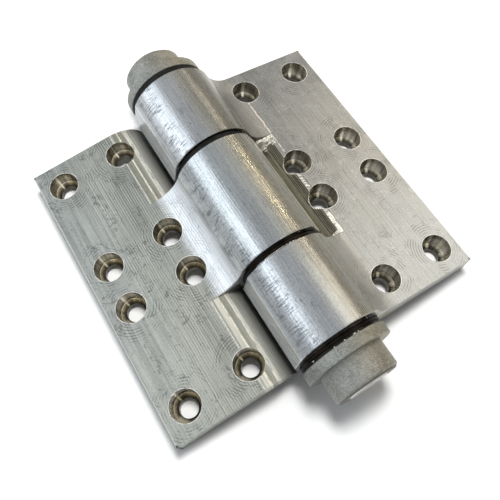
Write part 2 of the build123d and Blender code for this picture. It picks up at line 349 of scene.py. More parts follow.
def knuckle_colour(f):
    """Knuckles: cool on the left and warm on the right as painted reflection tints, with painted highlight
    and shade in bands by the angle round the pin.
    """
    tones, angle, y = f.tones, f.angle, f.y
    tone = f.add(0.45, f.about(f.clouds, 0.5, 0.5), f.times(f.bars, 1.1), f.about(f.specks, 0.5, 0.9),
                 f.times(f.strokes, -0.45), f.times(f.smudges, -0.30))
    # Painted highlight and shade by the angle round the pin: a highlight band brightened toward the far end
    # and dimmed at the near end, lighter and darker bands, light over the middle knuckle's shaded right
    # flank, a dark patch at the far end of the right side, and shade toward the far end over the right half.
    tone = f.add(tone,
                 f.times(f.band(angle, -51.0, -42.0, 5.0), f.reach(y, -20.0, 30.0), tones["highlight_band_lift"]),
                 f.times(f.band(angle, -56.0, -42.0, 6.0), f.reach(y, -20.0, -34.0), -0.18),
                 f.times(f.band(angle, 22.0, 33.0, 5.0), 0.22),
                 f.times(f.band(angle, -4.0, 8.0, 6.0), 0.08),
                 f.times(f.band(angle, 40.0, 48.0, 4.0), -0.14),
                 f.times(f.reach(angle, 57.0, 64.0), tones["shaded_flank_lift"]),
                 f.times(f.band(angle, 46.0, 54.0, 4.0), f.reach(y, 30.0, 40.0), -0.45),
                 f.times(f.reach(y, -40.0, 60.0), f.reach(angle, -14.0, 10.0), tones["shade_to_far"]))
    # Cool and warm copies of one tone: painted reflection tints of the cool lamp on the left and the warm
    # lamps on the right.
    cool = f.blend(tone, tones["cool_dark"], tones["cool_light"])
    warm = f.blend(tone, tones["warm_dark"], tones["warm_light"])
    barrel = f.blend(f.reach(angle, -18.0, 16.0), cool, warm)
    # Lighter, less metallic colour low on each side paints a sheen on the left and light over shade on the
    # right.
    barrel = f.blend(f.low_left, barrel, f.blend(tone, (0.40, 0.42, 0.43), (0.84, 0.86, 0.87)))
    barrel = f.blend(f.low_right, barrel, f.blend(tone, (0.30, 0.29, 0.245), (0.62, 0.60, 0.51)))
    # A darker band near the top: painted shade.
    barrel = f.blend(f.times(f.band(angle, -16.0, -6.0, 8.0), 0.22), barrel, (0.12, 0.13, 0.14))
    # A wavy line at one angle round the pin: a dark joint line on the left leaf, a painted glint along the
    # flat's edge on the right leaf.
    seam_glint_angle = f.add(angle, f.about(f.noise(f.stretched(f.place, (0, 1, 0)), 7.0, 2.0), 0.5, 5.0))
    seam_glint = f.times(f.band(seam_glint_angle, tones["seam_glint"] - 0.5, tones["seam_glint"] + 0.5, 0.6), f.knuckle)
    barrel = f.blend(f.times(seam_glint, tones["seam_glint_share"]), barrel, tones["seam_glint_colour"])
    return f.blend(f.times(f.pits, 0.8), barrel, (0.035, 0.035, 0.03))


def cut_back_tone(f):
    """Lightness where the leaf is cut back for the other's knuckles: lines, and on the right leaf the steps'
    painted light and shade with painted shade on the arc's top.
    """
    tone = f.add(0.45, f.about(f.cut_lines, 0.5, f.tones["cut_gain"]), f.about(f.specks, 0.5, 0.6))
    if f.side == LEFT:
        return tone
    # Light and dark bands at the terraces' pitch, in patches, paint the steps' light and shade; a dark band
    # where the arc meets the last terrace is painted shade.
    steps = f.wave(f.u, TERRACE_WIDTH, f.wander, 1.5)
    glint_patches = f.noise(f.stretched(f.leaf, (1, 0.22, 1)), 1.4, 3.0, 0.6)
    return f.add(tone, f.times(steps, f.reach(f.u, 29.8, 31.2), f.reach(glint_patches, 0.38, 0.62, 0.15, 0.85)),
                 f.times(f.band(f.u, 29.6, 30.7, 0.5), -0.22))


def add_relief_looks(f, colour, tone):
    """Left leaf: a near facet painted bright as a highlight, the arc below it in painted sheen and shade,
    crest lines bright with wear and painted highlight, and a dark inner edge of painted shade.
    """
    # The near facet's pale colour is a painted highlight.
    facet = f.times(f.band(f.u, 35.0, 38.0, 0.3), f.reach(f.v, -KNUCKLE_SPLIT, -KNUCKLE_SPLIT - 0.3),
                    f.cut_back)
    facet = f.times(facet, f.reach(f.cut_lines, 0.34, 0.60, 0.3, 0.75))
    colour = f.blend(facet, colour, (0.88, 0.84, 0.73))
    # The arc: a lighter, less metallic colour paints its sheen, turning to painted shade toward the barrel.
    arc = f.blend(tone, (0.25, 0.25, 0.225), (0.62, 0.61, 0.56))
    arc = f.blend(f.times(f.reach(f.u, 30.0, 24.6), 0.85), arc, (0.13, 0.13, 0.12))
    colour = f.blend(f.round_cut, colour, arc)
    # Crest lines bright with wear and painted highlight; the broad one at 30.6 is a painted highlight.
    for middle, half_width, share in ((38.3, 0.16, 0.6), (34.6, 0.30, 0.9), (30.6, 0.9, 0.6)):
        crest = f.times(f.band(f.u, middle - half_width, middle + half_width, 0.25),
                        f.reach(f.beside, KNUCKLE_SPLIT, KNUCKLE_SPLIT + 0.1),
                        f.reach(f.w, BACK, BACK + 1.0), f.math("SUBTRACT", 1.0, f.in_hole))
        crest = f.times(crest, f.reach(f.noise(f.stretched(f.leaf, (1, 0.2, 1)), 1.2), 0.30, 0.5))
        colour = f.blend(f.times(crest, share), colour, (0.90, 0.86, 0.74))
    # The dark inner edge by the barrel is painted shade.
    return f.blend(f.times(f.reach(f.u, 24.6, 22.4), f.cut_back), colour, (0.05, 0.05, 0.045))


def add_pocket_looks(f, colour):
    """Right leaf: painted highlight lines at the far fillet's foot and the strip's far edge, and a dark far
    wall.
    """
    # Painted highlight along the far fillet's foot.
    foot = f.add(f.u, f.about(f.noise(f.stretched(f.place, (0, 1, 0)), 5.0, 2.0), 0.5, 1.6))
    foot = f.times(f.band(foot, 35.7, 36.1, 0.35), f.reach(f.v, 33.0, 34.5), f.reach(f.v, 66.0, 62.0),
                   f.reach(f.noise(f.leaf, 3.0, 2.0), 0.36, 0.52))
    colour = f.blend(f.times(foot, 0.7), colour, (0.95, 0.84, 0.74))
    # Painted highlight along the strip's far edge.
    strip_edge = f.times(f.band(f.u, 35.75, 36.1, 0.15), f.band(f.v, 20.5, 32.8, 0.3),
                         f.reach(f.noise(f.leaf, 1.5, 2.0), 0.34, 0.5))
    colour = f.blend(f.times(strip_edge, 0.8), colour, (0.94, 0.93, 0.88))
    far_wall = f.times(f.band(f.v, INNER_END - 0.03, INNER_END + 0.03, 0.02), f.reach(f.u, 35.9, 35.6),
                       f.outside_barrel)
    return f.blend(f.times(far_wall, 0.85), colour, (0.05, 0.045, 0.035))


def wall_colour(f):
    """Hole walls: streaks down them, rings across, painted light and shade by the way each side faces, a
    painted highlight at the seat, painted highlight streaks, and painted shade in the through hole and just
    under the mouth.
    """
    tones, w = f.tones, f.w
    seat = FACE - SEAT_DEPTH
    out_u, out_v, _ = f.split(f.toward_wall)
    rings = f.noise(f.build(0.0, 0.0, w), 0.9, 3.0, 0.6)
    # Painted light and shade: each side of the hole lighter or darker by the way it faces, and on the right
    # leaf darker toward the seat.
    tone = f.add(tones["wall_base"], f.about(f.streaks, 0.5, 1.6), f.about(rings, 0.5, 0.8),
                 f.times(f.reach(w, FACE - 7.0, seat), tones["seat_tone"]),
                 f.times(f.reach(out_v, 0.0, 0.9), -0.24), f.times(f.reach(out_v, -0.2, -0.9), 0.10),
                 f.times(f.reach(out_u, 0.1, -0.9), 0.22))
    wall = f.blend(tone, tones["wall_dark"], tones["wall_light"])
    for groove_depth in (3.1, 5.2):
        groove = f.band(w, FACE - groove_depth - 0.12, FACE - groove_depth, 0.22)
        groove = f.times(groove, f.reach(f.streaks, 0.40, 0.60), tones["groove_share"])
        wall = f.blend(groove, wall, (0.85, 0.80, 0.68))
    # Painted highlight: a bright line at the seat.
    seat_line = f.band(w, seat - 0.25, seat + 0.05, 0.15)
    wall = f.blend(f.times(seat_line, tones["seat_share"]), wall, (0.92, 0.88, 0.78))
    # Painted shade: the through hole near black.
    through_hole = f.reach(w, seat - 0.5, seat - 1.6)
    wall = f.blend(f.times(through_hole, 0.90), wall, (0.030, 0.027, 0.022))
    # Painted highlights: bright streaks on the sides that face given ways.
    for toward_u, toward_v, narrow, share in tones["wall_highlights"]:
        facing = f.add(f.times(out_u, toward_u), f.times(out_v, toward_v))
        streak = f.times(f.reach(facing, 1.0 - narrow, 1.0), f.reach(w, FACE - 10.2, FACE - 9.0))
        wall = f.blend(f.times(streak, share), wall, (0.95, 0.89, 0.73))
    # Painted shade just under the hole's mouth.
    under_rim = f.reach(w, FACE - 0.9, FACE - 0.2)
    return f.blend(f.times(under_rim, 0.35), wall, (0.06, 0.055, 0.045))


def add_edge_looks(f, colour):
    """Broken bright rims round the holes and a bright outer edge, both wear and painted highlight, a side
    face darkened as painted shade, and dark corners.
    """
    # Rims and outer edge: bright with wear and painted highlight.
    rim = f.times(f.band(f.hole, MOUTH_RADIUS + 0.05, MOUTH_RADIUS + 0.28, 0.12), f.reach(f.w, -1.4, -1.0),
                  f.reach(f.noise(f.leaf, 2.4, 2.0), 0.40, 0.55), f.outside_barrel)
    colour = f.blend(f.times(rim, 0.75), colour, (0.88, 0.87, 0.83))
    edge = f.reach(f.u, LEAF_WIDTH - 0.50, LEAF_WIDTH - 0.36)
    colour = f.blend(f.times(edge, 0.5), colour, (0.78, 0.76, 0.70))
    # The side face below the edge is painted shade.
    side_face = f.times(edge, f.reach(f.w, FACE - 0.9, FACE - 1.9), f.reach(f.clouds, 0.3, 0.7, 0.85, 0.6))
    colour = f.blend(side_face, colour, (0.05, 0.05, 0.045))
    past_side, past_end = f.math("SUBTRACT", LEAF_WIDTH, f.u), f.math("SUBTRACT", PLATE_END, f.beside)
    corner = f.reach(f.length(past_side, past_end), 1.5, 0.8)
    return f.blend(f.times(corner, 0.9), colour, (0.03, 0.03, 0.028))


def machined_leaf(name, side, tones):
    """Milled steel of one leaf: its colours laid over one another, then its gloss, its relief, and less metal
    where a bright sheen is painted.
    """
    f = LeafSteel(name, side, tones)
    colour = f.blend(f.knuckle, plate_colour(f), knuckle_colour(f))
    colour = f.blend(f.times(f.strokes, 0.55), colour, (0.13, 0.14, 0.15))
    tone = cut_back_tone(f)
    colour = f.blend(f.cut_back, colour, f.blend(tone, tones["cut_dark"], tones["cut_light"]))
    colour = add_relief_looks(f, colour, tone) if side == LEFT else add_pocket_looks(f, colour)
    colour = f.blend(f.in_hole, colour, wall_colour(f))
    colour = add_edge_looks(f, colour)

    rough = f.add(0.36, f.about(f.clouds, 0.5, 0.35), f.times(f.math("ABSOLUTE", f.lines), 0.15),
                  f.times(f.knuckle, -0.12), f.times(f.in_hole, -0.14), f.times(f.fillet, 0.06))
    height = f.add(f.times(f.lines, 0.8), f.times(f.rings, -0.8), f.times(f.scratches, -0.8),
                   f.times(f.ticks, -0.6), f.times(f.strokes, -0.6), f.times(f.bars, 0.8),
                   f.times(f.pits, -2.0), f.times(f.streaks, f.in_hole, 0.6))
    normal = f.relief(height, 0.035)
    normal = f.relief(f.add(f.clouds, f.times(f.noise(f.leaf, 5.0, 2.0), 0.25)), 0.20, under=normal)
    f.finish(colour, rough, normal)
    # Less metal in the holes and in the painted sheen zones, so that the lamps light their lighter painted
    # colour diffusely.
    matt = f.times(f.in_hole, 0.42)
    for zone in (f.satin_sheen, f.round_cut, f.low_left, f.low_right):
        matt = f.math("MAXIMUM", matt, zone)
    f.join(f.reach(matt, 0.0, 1.0, 1.0, 0.35), f.shader.inputs["Metallic"])
    return f.material


def blasted_steel(name):
    """Matt grain of a blasted turned cap: fine and coarse speckle over slow clouds, tan toward +x as a
    painted tint of the warm light there, and darker at the hub's ends.
    """
    f = Finish(name)
    grain = f.noise(f.place, 0.55, 3.0, 0.75)
    blots = f.noise(f.place, 1.5, 3.0, 0.65)
    clouds = f.noise(f.place, 12.0, 2.0, 0.5)
    x, y, _ = f.split(f.place)
    tone = f.add(0.5, f.about(grain, 0.5, 2.6), f.about(blots, 0.5, 1.4), f.about(clouds, 0.5, 0.8))
    grey = f.blend(tone, (0.13, 0.133, 0.125), (0.37, 0.375, 0.355))
    tan = f.blend(tone, (0.16, 0.147, 0.113), (0.44, 0.41, 0.33))
    # Grey toward -x and tan toward +x: a painted tint of the warm light on that side.
    colour = f.blend(f.reach(x, -12.0, 12.0), grey, tan)
    end = f.reach(f.math("ABSOLUTE", y), HUB_END - 1.0, HUB_END - 0.2)
    colour = f.blend(f.times(end, 0.85), colour, (0.085, 0.078, 0.060))
    normal = f.relief(f.add(grain, blots), 0.16)
    return f.finish(colour, f.add(0.50, f.about(blots, 0.5, 0.3)), normal, metallic=0.9)


def turned_steel(name, dark, light, pitch, rough, shine=0.0):
    """Round steel worked on a lathe: fine rings along the pin's axis, and with shine, bright spots painted as
    glints.

    Shine also gives the bearing's race beside the near knuckle a broken painted highlight along its lip.
    """
    f = Finish(name)
    rings = f.noise(f.stretched(f.place, (0.05, 1.0, 0.05)), pitch, 3.0, 0.6)
    patches = f.noise(f.place, 4.0, 3.0, 0.6)
    tone = f.add(f.times(rings, 0.6), f.times(patches, 0.4))
    colour = f.blend(f.reach(tone, 0.35, 0.65), dark, light)
    if shine:
        # Bright spots: painted glints.
        glint_patches = f.reach(f.noise(f.stretched(f.place, (1, 0.5, 1)), 1.6, 2.0), 0.68, 0.73)
        colour = f.blend(f.times(glint_patches, shine), colour, (0.85, 0.80, 0.68))
        # A broken bright band along the race's lip: painted highlight.
        lip = f.band(f.split(f.place)[1], 0.15 - INNER_END, 0.55 - INNER_END, 0.12)
        lip = f.times(lip, f.reach(f.noise(f.place, 3.5, 2.0), 0.40, 0.55))
        colour = f.blend(f.times(lip, shine), colour, (0.80, 0.78, 0.70))
    gloss = f.reach(patches, 0.3, 0.7, rough - 0.06, rough + 0.08)
    return f.finish(colour, gloss, f.relief(rings, 0.02))


def black_ring(name):
    """Matt black with a faint dusty bloom and fine turning marks."""
    f = Finish(name)
    dust = f.noise(f.place, 2.5, 4.0, 0.65)
    marks = f.noise(f.stretched(f.place, (0.05, 1.0, 0.05)), 0.4, 2.0)
    colour = f.blend(f.reach(dust, 0.4, 0.75), (0.006, 0.006, 0.0055), (0.022, 0.021, 0.019))
    f.shader.inputs["Specular IOR Level"].default_value = 0.12
    return f.finish(colour, f.reach(dust, 0.3, 0.7, 0.5, 0.7), f.relief(marks, 0.02), metallic=0.0)


def fresh_cut(name, dark, light):
    """Bare bright steel left by the cutter, with a straw tint in its hollows."""
    f = Finish(name)
    grain = f.noise(f.place, 0.9, 3.0, 0.65)
    lines = f.noise(f.stretched(f.place, (1, 0.1, 1)), 0.5, 2.0)
    colour = f.blend(f.reach(f.add(grain, f.about(lines, 0.5, 0.6)), 0.32, 0.66), dark, light)
    return f.finish(colour, f.reach(grain, 0.3, 0.7, 0.20, 0.42), f.relief(grain, 0.05), metallic=0.5)


# Colours and strengths of the two leaves' steel: cool for the left, warm for the right
cool_tones = {
    "dark": (0.17, 0.18, 0.17), "light": (0.51, 0.525, 0.50), "warm_tint": (1.0, 0.985, 0.93),
    "painted_light_to_near": 0.26, "lift_to_pin": -0.04, "lift_middle": 0.13, "highlight_band_lift": 0.05, "shaded_flank_lift": 0.75,
    "shade_to_far": 0.0, "line_gain": 0.75, "ridge_depth": 0.42, "ring_depth": 0.50, "marks": 0.45,
    "tick_tone": -0.45, "satin_sheen": 1.0, "satin_sheen_cut": 0.75, "satin_sheen_high": 0.85, "satin_sheen_low": 1.0,
    "satin_sheen_dark": (0.46, 0.49, 0.52), "satin_sheen_light": (0.84, 0.87, 0.90),
    "cool_dark": (0.17, 0.185, 0.195), "cool_light": (0.58, 0.605, 0.62),
    "warm_dark": (0.17, 0.163, 0.135), "warm_light": (0.48, 0.465, 0.405), "stroke_band": (-66.0, -48.0),
    "seam_glint": -72.5, "seam_glint_share": 0.5, "seam_glint_colour": (0.07, 0.08, 0.09),
    "cut_from": 38.7, "cut_pitch": 0.7, "cut_gain": 1.6,
    "cut_dark": (0.17, 0.165, 0.13), "cut_light": (0.50, 0.485, 0.40),
    "wall_base": 0.47, "seat_tone": 0.0, "seat_share": 0.5, "groove_share": 0.22,
    "wall_dark": (0.12, 0.106, 0.070), "wall_light": (0.74, 0.67, 0.50),
    "wall_highlights": ((0.26, 0.965, 0.006, 0.85), (0.80, -0.60, 0.16, 0.7)),
}
warm_tones = {
    "dark": (0.166, 0.166, 0.156), "light": (0.475, 0.474, 0.455), "warm_tint": (1.0, 0.99, 0.965),
    "painted_light_to_near": 0.40, "lift_to_pin": -0.04, "lift_middle": 0.0, "highlight_band_lift": 0.42, "shaded_flank_lift": 0.0,
    "shade_to_far": -0.28, "line_gain": 0.38, "ridge_depth": 0.06, "ring_depth": 0.45, "marks": 0.20,
    "tick_tone": 0.22, "satin_sheen": 0.35, "satin_sheen_cut": 0.0, "satin_sheen_high": 0.6, "satin_sheen_low": 0.6,
    "satin_sheen_dark": (0.36, 0.345, 0.31), "satin_sheen_light": (0.70, 0.68, 0.63),
    "cool_dark": (0.19, 0.20, 0.21), "cool_light": (0.58, 0.60, 0.625),
    "warm_dark": (0.18, 0.172, 0.145), "warm_light": (0.50, 0.48, 0.425), "stroke_band": (-50.0, -36.0),
    "seam_glint": -65.5, "seam_glint_share": 0.75, "seam_glint_colour": (0.92, 0.91, 0.86),
    "cut_from": 33.5, "cut_pitch": 0.5, "cut_gain": 2.4,
    "cut_dark": (0.13, 0.122, 0.088), "cut_light": (0.56, 0.525, 0.42),
    "wall_base": 0.56, "seat_tone": -0.12, "seat_share": 0.12, "groove_share": 0.08,
    "wall_dark": (0.09, 0.082, 0.060), "wall_light": (0.70, 0.65, 0.53),
    "wall_highlights": ((0.384, 0.923, 0.016, 0.85), (-0.86, 0.51, 0.07, 0.85), (0.93, -0.37, 0.03, 0.5)),
}
finishes = {
    "cool_machined_steel": machined_leaf("cool_machined_steel", LEFT, cool_tones),
    "warm_machined_steel": machined_leaf("warm_machined_steel", RIGHT, warm_tones),
    "blasted_steel": blasted_steel("blasted_steel"),
}
# The bearing's washers and cage are near black, painted shade of the gaps they sit in.
for name, dark, light, pitch, rough, shine in (
        ("ground_pin_steel", (0.40, 0.40, 0.38), (0.62, 0.62, 0.59), 0.6, 0.28, 0.0),
        ("bearing_steel", (0.006, 0.0055, 0.005), (0.028, 0.024, 0.019), 0.4, 0.26, 0.8),
        ("cage_steel", (0.004, 0.003, 0.003), (0.018, 0.014, 0.011), 0.7, 0.36, 0.0),
        ("bush_bronze", (0.38, 0.24, 0.11), (0.60, 0.42, 0.22), 0.5, 0.34, 0.0),
        ("black_screw_steel", (0.015, 0.015, 0.015), (0.045, 0.045, 0.045), 0.45, 0.42, 0.0)):
    finishes[name] = turned_steel(name, dark, light, pitch, rough, shine)
finishes["black_ring"] = black_ring("black_ring")
for part in frame["record"]["subparts"]:
    node = frame["nodes"][part["node"]]
    node.data.materials.clear()
    node.data.materials.append(finishes[part["material_slot"]])
# Pale, half-metal cut steel for the tool marks, crests, rims and burrs; its pale colour also paints glints on
# them.
cut_white = fresh_cut("fresh_cut_steel", (0.50, 0.46, 0.34), (0.93, 0.91, 0.84))
rim_steel = fresh_cut("rim_steel", (0.62, 0.61, 0.57), (0.92, 0.92, 0.89))


def on_leaf(side, u, w, v):
    """World points, in metres, of u, w and v on a leaf: the leaf's axes turned by its tilt."""
    u, w, v = np.broadcast_arrays(u, w, v)
    x = side * (u * math.cos(LEAF_TILT) + w * math.sin(LEAF_TILT))
    z = PIN_HEIGHT - u * math.sin(LEAF_TILT) + w * math.cos(LEAF_TILT)
    return np.stack([x, v, z], axis=-1) * MM


def bow(u, centre, radius, sign):
    """Height of a round arc over u.

    It is the centre's height plus or minus the root of the radius squared less the offset squared.
    """
    return centre[1] + sign * np.sqrt(np.maximum(radius ** 2 - (u - centre[0]) ** 2, 0.0))


def leaf_height(side, u, v):
    """Height w of a leaf's upper surface at u and v.

    The plate is flat at FACE. Beside its own knuckle the root fillet rises as an arc. Beside the
    other leaf's knuckles the left leaf falls in two flat facets and an arc, and the right leaf in
    a shallow strip, equal terraces and an arc.
    """
    u, v = np.broadcast_arrays(u, v)
    own = np.abs(v) < KNUCKLE_SPLIT if side == LEFT else np.abs(v) > INNER_END
    fillet = bow(u, (FILLET_REACH, FACE + FILLET_RADIUS), FILLET_RADIUS, -1)
    height = np.where(own & (u < FILLET_REACH), fillet, FACE)
    if side == LEFT:
        centre = (FILLET_REACH + RELIEF_LEAD, FACE - RELIEF_RADIUS)
        turns = FACET_TURN * np.arange(FACETS + 1)
        corner_u = centre[0] - RELIEF_RADIUS * np.sin(turns)
        corner_w = centre[1] + RELIEF_RADIUS * np.cos(turns)
        cut = np.interp(u, corner_u[::-1], corner_w[::-1])
        cut = np.where(u < corner_u[-1], bow(u, centre, RELIEF_RADIUS, 1), cut)
        return np.where(~own & (u < corner_u[0]), cut, height)
    step = np.floor((FILLET_REACH - STRIP_WIDTH - u) / TERRACE_WIDTH) + 1
    cut = STRIP_LEVEL - TERRACE_DEPTH * np.clip(step, 0, TERRACES)
    centre = (FILLET_REACH, -FACE - FILLET_RADIUS)
    last = FILLET_REACH - STRIP_WIDTH - TERRACES * TERRACE_WIDTH
    low = STRIP_LEVEL - TERRACES * TERRACE_DEPTH
    radius = math.hypot(last - centre[0], low - centre[1])
    cut = np.where(u < last, bow(u, centre, radius, 1), cut)
    return np.where(~own & (u < FILLET_REACH), cut, height)


def hole_distance(u, v):
    """Distance in the leaf's face from the nearest screw hole's axis."""
    row = np.minimum(np.abs(np.abs(v) - MIDDLE_ROW), np.abs(np.abs(v) - END_ROW))
    column = np.minimum(np.abs(u - INNER_COLUMN), np.abs(u - OUTER_COLUMN))
    return np.hypot(row, column)


FULL_TURN = 6.283
WAVES = 6


def ripple(a, b, pitch, seed):
    """Rough height, mostly between -1 and 1, over a and b.

    It is a third of the sum of six sine waves of about one pitch, in seeded directions.
    """
    dice = np.random.default_rng(seed)
    turns = dice.uniform(0, math.pi, WAVES)
    stretches = dice.uniform(0.7, 1.5, WAVES)
    starts = dice.uniform(0, 6.28, WAVES)
    total = 0.0
    for turn, stretch, start in zip(turns, stretches, starts):
        along = a * math.cos(turn) + b * math.sin(turn)
        total = total + np.sin(along * FULL_TURN * stretch / pitch + start)
    return total / 3.0


def tiled(points, keep=None, around=False):
    """Corners and four-sided faces of a grid of points; around joins its last column to its first."""
    rows, columns = points.shape[:2]
    number = np.arange(rows * columns).reshape(rows, columns)
    if around:
        number = np.concatenate([number, number[:, :1]], axis=1)
    faces = np.stack([number[:-1, :-1], number[:-1, 1:], number[1:, 1:], number[1:, :-1]], axis=-1)
    faces = faces[keep] if keep is not None else faces.reshape(-1, 4)
    return points.reshape(-1, 3), faces


def make_piece(name, grids, body, finish, shell=0.0):
    """One piece from several grids; shell gives an open skin that thickness, in millimetres, below it."""
    corners, faces, start = [], [], 0
    for points, quads in grids:
        used, quads = np.unique(quads, return_inverse=True)
        corners.append(points[used])
        faces.append(quads.reshape(-1, 4) + start)
        start += len(used)
    mesh = bpy.data.meshes.new(name)
    mesh.from_pydata(np.concatenate(corners).tolist(), [], np.concatenate(faces).tolist())
    work = bmesh.new()
    work.from_mesh(mesh)
    bmesh.ops.remove_doubles(work, verts=work.verts, dist=1e-6)
    if not shell:
        bmesh.ops.recalc_face_normals(work, faces=work.faces)
    work.to_mesh(mesh)
    work.free()
    mesh.shade_smooth()
    mesh.materials.append(finish)
    piece = bpy.data.objects.new(name, mesh)
    bpy.context.collection.objects.link(piece)
    if shell:
        solid = piece.modifiers.new("thickness", "SOLIDIFY")
        solid.thickness = shell * MM
        solid.offset = -1.0
    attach(piece, body)
    return piece


def marks_skin(side, u_steps, v_steps, lift):
    """Grid just over a leaf's surface, raised by lift; the steps are first, last and how many.

    It is kept where lift is above the surface, or just below it, and clear of the screw holes.
    """
    lowest, hole_room = -0.03, 0.08
    u, v = np.meshgrid(np.linspace(*u_steps), np.linspace(*v_steps))
    height = lift(u, v)
    points = on_leaf(side, u, leaf_height(side, u, v) + height, v)
    inside = (height > lowest) & (hole_distance(u, v) > MOUTH_RADIUS + hole_room)
    keep = inside[:-1, :-1] & inside[:-1, 1:] & inside[1:, :-1] & inside[1:, 1:]
    points, faces = tiled(points, keep)
    return points, faces if side == LEFT else faces[:, ::-1]


def chatter(u, v):
    """Short ridges across the strip, strongest between the two middle holes and toward the near end."""
    pitch = 1.75
    strength = np.maximum(np.exp(-((v - 0.5) / 3.0) ** 2), np.clip((-v - 18.5) / 2.0, 0, 1))
    wave = 0.5 + 0.5 * np.sin(FULL_TURN * v / pitch + 1.3 * np.sin(0.9 * v) + 1.6 * u)
    fade = np.clip(np.minimum(u - STRIP_INNER, STRIP_OUTER - u) / 0.35, 0, 1)
    return strength * fade * (0.34 * wave ** 2.5 + 0.07 * ripple(u, v, 1.1, 3)) - 0.045


def far_end_tear(u, v):
    """Metal left at the far end: a torn ramp up from the terraces to a ledge with a lip.

    The ledge is level with the strip, but for a small drop.
    """
    ramp_start, ramp_length, ledge_start, drop = 29.0, 2.4, 31.75, 0.15
    fade = np.clip((v - 27.2) / 3.5, 0, 1) * np.clip((u - 25.2) / 1.5, 0, 1)
    rough = 0.36 * fade * (0.15 + ripple(0.3 * u, v, 1.3, 5) + 0.4 * ripple(u, v, 1.0, 6))
    climb = np.clip((v - ramp_start) / ramp_length, 0, 1) ** 1.2 * np.clip((u - 25.0) / 0.8, 0, 1)
    room = np.maximum(STRIP_LEVEL - drop - leaf_height(RIGHT, u, v), 0.0)
    ledge = np.clip((v - ledge_start) / 0.15, 0, 1)
    lip = (0.30 + 0.03 * ripple(u, v, 0.8, 9)) * climb * ledge * np.clip((STRIP_OUTER - u) / 0.3, 0, 1)
    return climb * room + rough * (1.0 - 0.3 * climb) * (1.0 - ledge) + lip - 0.04


def near_end_tear(u, v):
    """Bright smear on the strip's near end, with a rough foot along the end wall."""
    smear = np.clip((-v - 20.0) / 2.0, 0, 1) * np.clip((u - STRIP_INNER) / 0.4, 0, 1)
    foot = np.clip((-v - 30.6) / 0.8, 0, 1) * np.clip((u - 28.0) / 1.5, 0, 1)
    return 0.20 * np.maximum(smear, foot) * (0.7 + 0.6 * ripple(u, v, 1.9, 8)) - 0.04


def near_end_wall():
    """Torn near end wall of the pocket, from its floor up to the face, pushed out by a rough height."""
    wall_top = FACE + 1.2
    u, rise = np.meshgrid(np.linspace(25.6, 35.95, 90), np.linspace(0.02, 0.98, 26))
    floor = leaf_height(RIGHT, u, 0.0)
    fillet = bow(u, (FILLET_REACH, FACE + FILLET_RADIUS), FILLET_RADIUS, -1)
    w = floor + (np.minimum(fillet, wall_top) - floor) * rise
    ragged = 0.05 + 0.14 * np.abs(ripple(u, w * 1.7, 1.6, 10)) * np.sin(math.pi * rise) ** 0.5
    points, faces = tiled(on_leaf(RIGHT, u, w, ragged - INNER_END))
    return points, faces[:, ::-1]


smear_end, tear_start = -20.6, 27.0
pocket_marks = [
    marks_skin(RIGHT, (STRIP_INNER, STRIP_OUTER, 24), (smear_end, tear_start, 560), chatter),
    marks_skin(RIGHT, (24.9, STRIP_OUTER, 150), (tear_start, MARKS_END, 90), far_end_tear),
    marks_skin(RIGHT, (28.0, STRIP_OUTER, 96), (-MARKS_END, smear_end, 130), near_end_tear),
    near_end_wall(),
]
make_piece("pocket_tool_marks", pocket_marks, "end_knuckle_side", cut_white,
           shell=0.05)

BEAD_SIDES = 6


def bead(side, u, v, thickness):
    """Round bead carried along a path on a leaf: a circle square to the path, about a third sunk in."""
    along = np.stack([np.gradient(u), np.gradient(v)], axis=-1)
    along /= np.linalg.norm(along, axis=-1, keepdims=True)
    turn = np.linspace(0, 2 * math.pi, BEAD_SIDES, endpoint=False)
    out = thickness[:, None] * np.cos(turn)
    up = thickness[:, None] * (np.sin(turn) + 0.35)
    grid_u = u[:, None] + out * along[:, 1:]
    grid_v = v[:, None] - out * along[:, :1]
    return tiled(on_leaf(side, grid_u, leaf_height(side, u, v)[:, None] + up, grid_v), around=True)


def mouth_rim(side, column, row):
    """Burr round a screw hole's mouth: a bead of wandering thickness, all but gone where steps are cut."""
    turn = np.linspace(0, 2 * math.pi, 121)
    u = column + (MOUTH_RADIUS + 0.10) * np.cos(turn)
    v = row + (MOUTH_RADIUS + 0.10) * np.sin(turn)
    thickness = 0.085 + 0.035 * np.sin(3 * turn + column) + 0.02 * np.sin(11 * turn + row)
    stepped = leaf_height(side, u, v) < FACE - 0.05
    return bead(side, u, v, np.where(stepped, 0.004, thickness))


for name, side, body, slot in (
        ("left_mouth_rims", LEFT, "middle_knuckle_side", "cool_machined_steel"),
        ("right_mouth_rims", RIGHT, "end_knuckle_side", "warm_machined_steel")):
    rims = [mouth_rim(side, column, end * row) for column in (INNER_COLUMN, OUTER_COLUMN)
            for row in (MIDDLE_ROW, END_ROW) for end in (1, -1)]
    make_piece(name, rims, body, rim_steel)


def crest(place, end, width):
    """Ridge left between two facets of the left leaf's relief: a bead along the pin that thins at holes."""
    v = end * np.linspace(KNUCKLE_SPLIT + 0.1, PLATE_END - 0.25, 420)
    u = place + 0.05 * np.sin(v * 1.3) + 0.03 * np.sin(v * 4.1)
    clear = np.clip((hole_distance(u, v) - MOUTH_RADIUS - 0.05) / 0.6, 0.0, 1.0)
    thickness = width * (0.8 + 0.3 * np.sin(v * 2.2 + place) * np.sin(v * 0.7)) * clear
    points, faces = bead(LEFT, u, v, np.maximum(thickness, 1e-4))
    inside = hole_distance(u, v) > MOUTH_RADIUS + 0.05
    keep = np.repeat(inside[:-1] & inside[1:], BEAD_SIDES)
    return points, faces[keep]


crest_lines = ((38.35, 0.10), (34.56, 0.13), (30.83, 0.10))
crests = [crest(place, end, width) for end in (1, -1) for place, width in crest_lines]
make_piece("relief_crests", crests, "middle_knuckle_side", cut_white)


